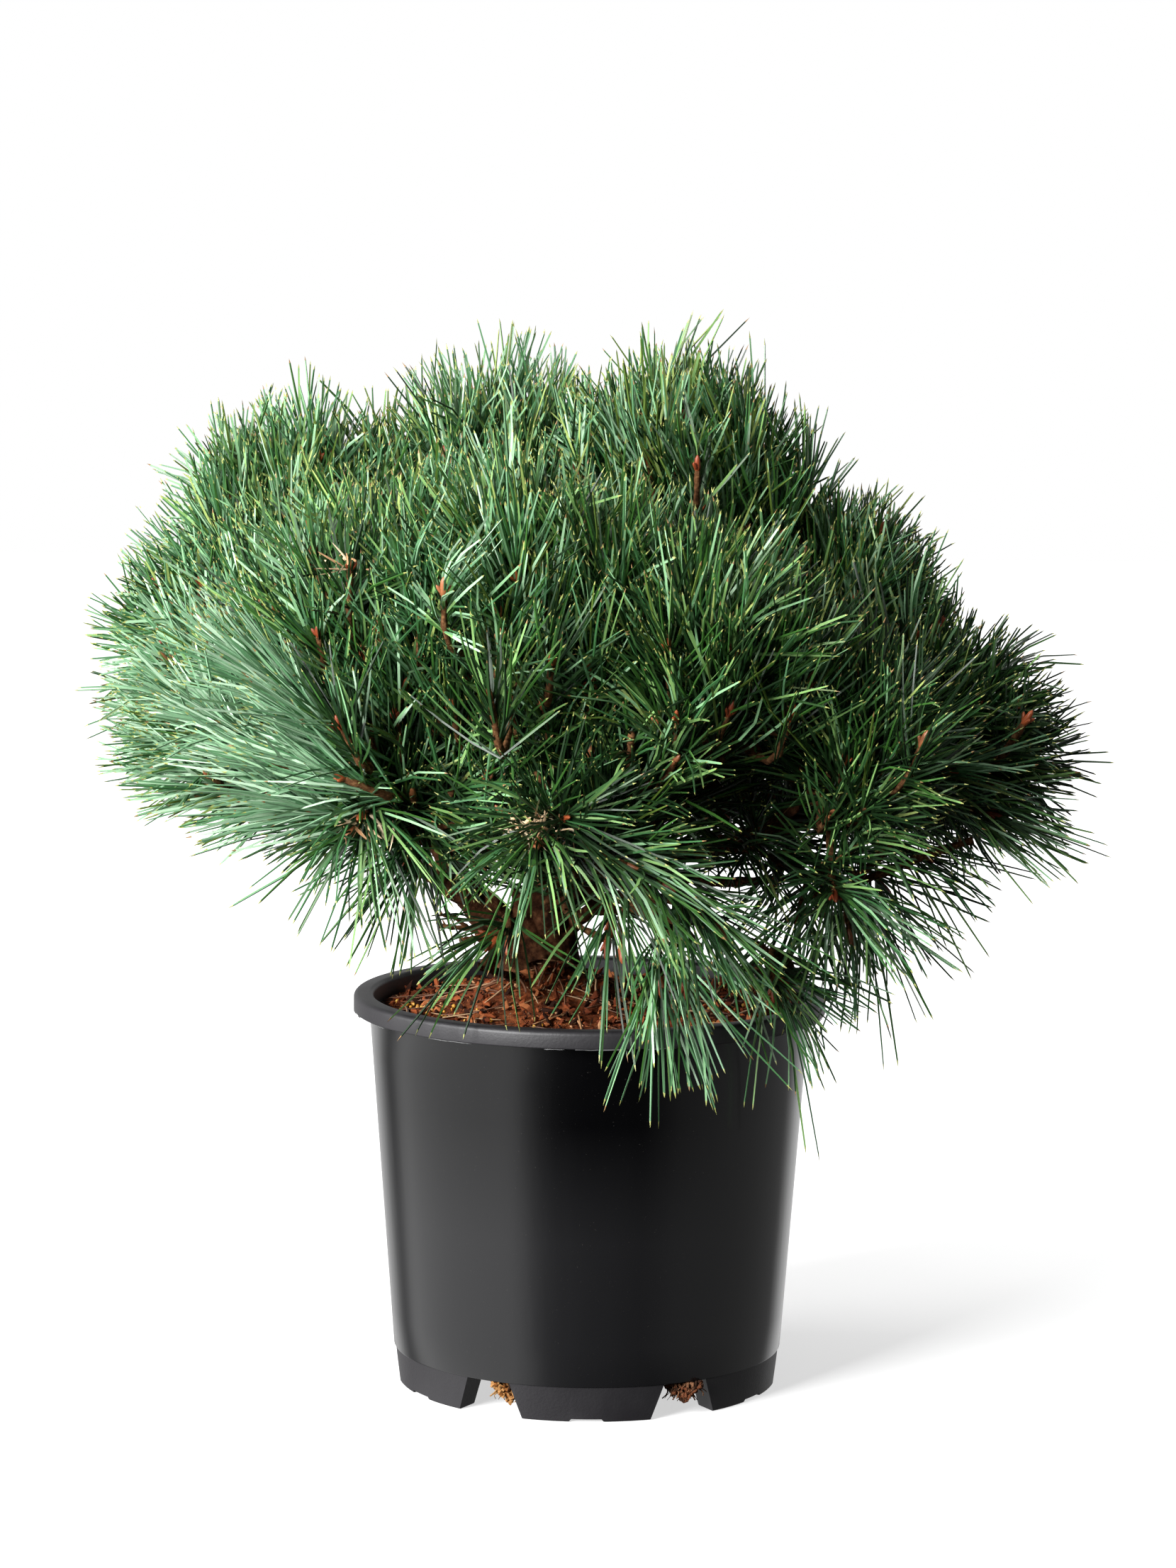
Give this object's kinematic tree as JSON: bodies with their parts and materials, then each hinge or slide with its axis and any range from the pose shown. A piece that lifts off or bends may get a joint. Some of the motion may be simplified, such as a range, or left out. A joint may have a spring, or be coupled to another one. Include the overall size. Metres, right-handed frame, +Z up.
{
  "type": "potted dwarf blue scots pine",
  "caption": "Dense, low, wide-crowned dwarf pine with long blue-green needles, growing in soil in a round black nursery pot with notched feet.",
  "frame": {"origin": "the middle of the pot's underside, on the surface that it stands on", "axes": "+Z up, -Y the side first seen, +X to the right as seen from there"},
  "size_m": [0.6056, 0.4887, 0.6268],
  "materials": {
    "black_plastic": "glossy black moulded polypropylene, rim and feet more matt",
    "potting_soil": "loose peat and bark crumbs",
    "bark": "rough grey-brown bark",
    "needles": "waxy blue-green needles with yellow-green tips"
  },
  "bodies": {
    "root": {"back_left": "needles", "back_left_bough": "bark", "back_low": "needles", "back_low_bough": "bark", "back_low_right": "needles", "back_low_right_bough": "bark", "back_mound": "needles", "back_mound_bough": "bark", "back_right": "needles", "back_right_bough": "bark", "crest": "needles", "crest_bough": "bark", "droop_front": "needles", "droop_front_bough": "bark", "foot_left": "needles", "front_left": "needles", "front_left_bough": "bark", "front_mound": "needles", "front_mound_bough": "bark", "front_right": "needles", "front_right_bough": "bark", "left_back_low": "needles", "left_back_low_bough": "bark", "left_low": "needles", "left_low_bough": "bark", "left_shoulder": "needles", "left_shoulder_bough": "bark", "left_side": "needles", "left_side_bough": "bark", "low_centre": "needles", "low_centre_bough": "bark", "low_left": "needles", "low_left_bough": "bark", "low_right": "needles", "low_right_bough": "bark", "pot": "black_plastic", "right_back": "needles", "right_back_bough": "bark", "right_front": "needles", "right_front_bough": "bark", "right_shoulder": "needles", "right_shoulder_bough": "bark", "right_side": "needles", "right_side_bough": "bark", "rim_right": "needles", "rim_right_bough": "bark", "soil": "potting_soil", "trunk": "bark", "upper_left": "needles", "upper_left_bough": "bark"}
  },
  "joints": []
}
